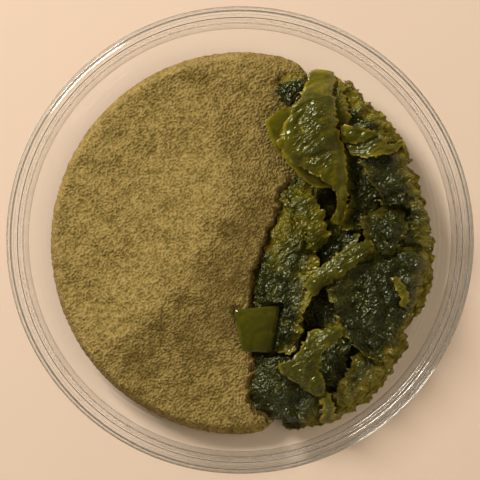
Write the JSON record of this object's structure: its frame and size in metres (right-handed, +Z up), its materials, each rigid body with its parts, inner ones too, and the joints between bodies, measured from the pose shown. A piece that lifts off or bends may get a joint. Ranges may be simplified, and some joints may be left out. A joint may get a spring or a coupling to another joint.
{
  "type": "dish of knotted wrack meal",
  "caption": "Round flat-bottomed clear glass dish holding a smooth bank of fine olive-brown seaweed meal with a heap of wet, crumpled dark-green fronds beside it.",
  "frame": {"origin": "middle of the dish's flat underside", "axes": "+Z up out of the dish; +X across the dish towards the heap of fronds, the meal being on the -X side; +Y away from the viewer, along the heap"},
  "size_m": [0.1, 0.1, 0.0199],
  "materials": {
    "glass": "clear",
    "meal": "loose fine dry powder",
    "wet_frond_dark": "wet, glossy",
    "wet_frond_olive": "wet, glossy"
  },
  "bodies": {
    "root": {"dish": "glass", "frond_crown": "wet_frond_olive", "frond_spear": "wet_frond_olive", "frond_star": "wet_frond_olive", "frond_shelf": "wet_frond_olive", "frond_shelf_outer": "wet_frond_olive", "frond_frill": "wet_frond_olive", "frond_flap": "wet_frond_olive", "frond_curl": "wet_frond_olive", "frond_south_tip": "wet_frond_olive", "frond_crown_back": "wet_frond_olive", "frond_under_blade": "wet_frond_olive", "frond_west_tip": "wet_frond_dark", "frond_hook": "wet_frond_dark", "frond_mid_lobe": "wet_frond_dark", "frond_east": "wet_frond_dark", "frond_east_upper": "wet_frond_dark", "frond_north": "wet_frond_dark", "frond_south": "wet_frond_dark", "frond_south_east": "wet_frond_dark", "frond_inner_north": "wet_frond_dark", "frond_inner_middle": "wet_frond_dark", "frond_inner_south": "wet_frond_dark", "frond_margin_north": "wet_frond_olive", "frond_margin_east": "wet_frond_olive", "frond_margin_south": "wet_frond_olive", "meal": "meal", "frond_mat": "wet_frond_dark"}
  },
  "joints": []
}
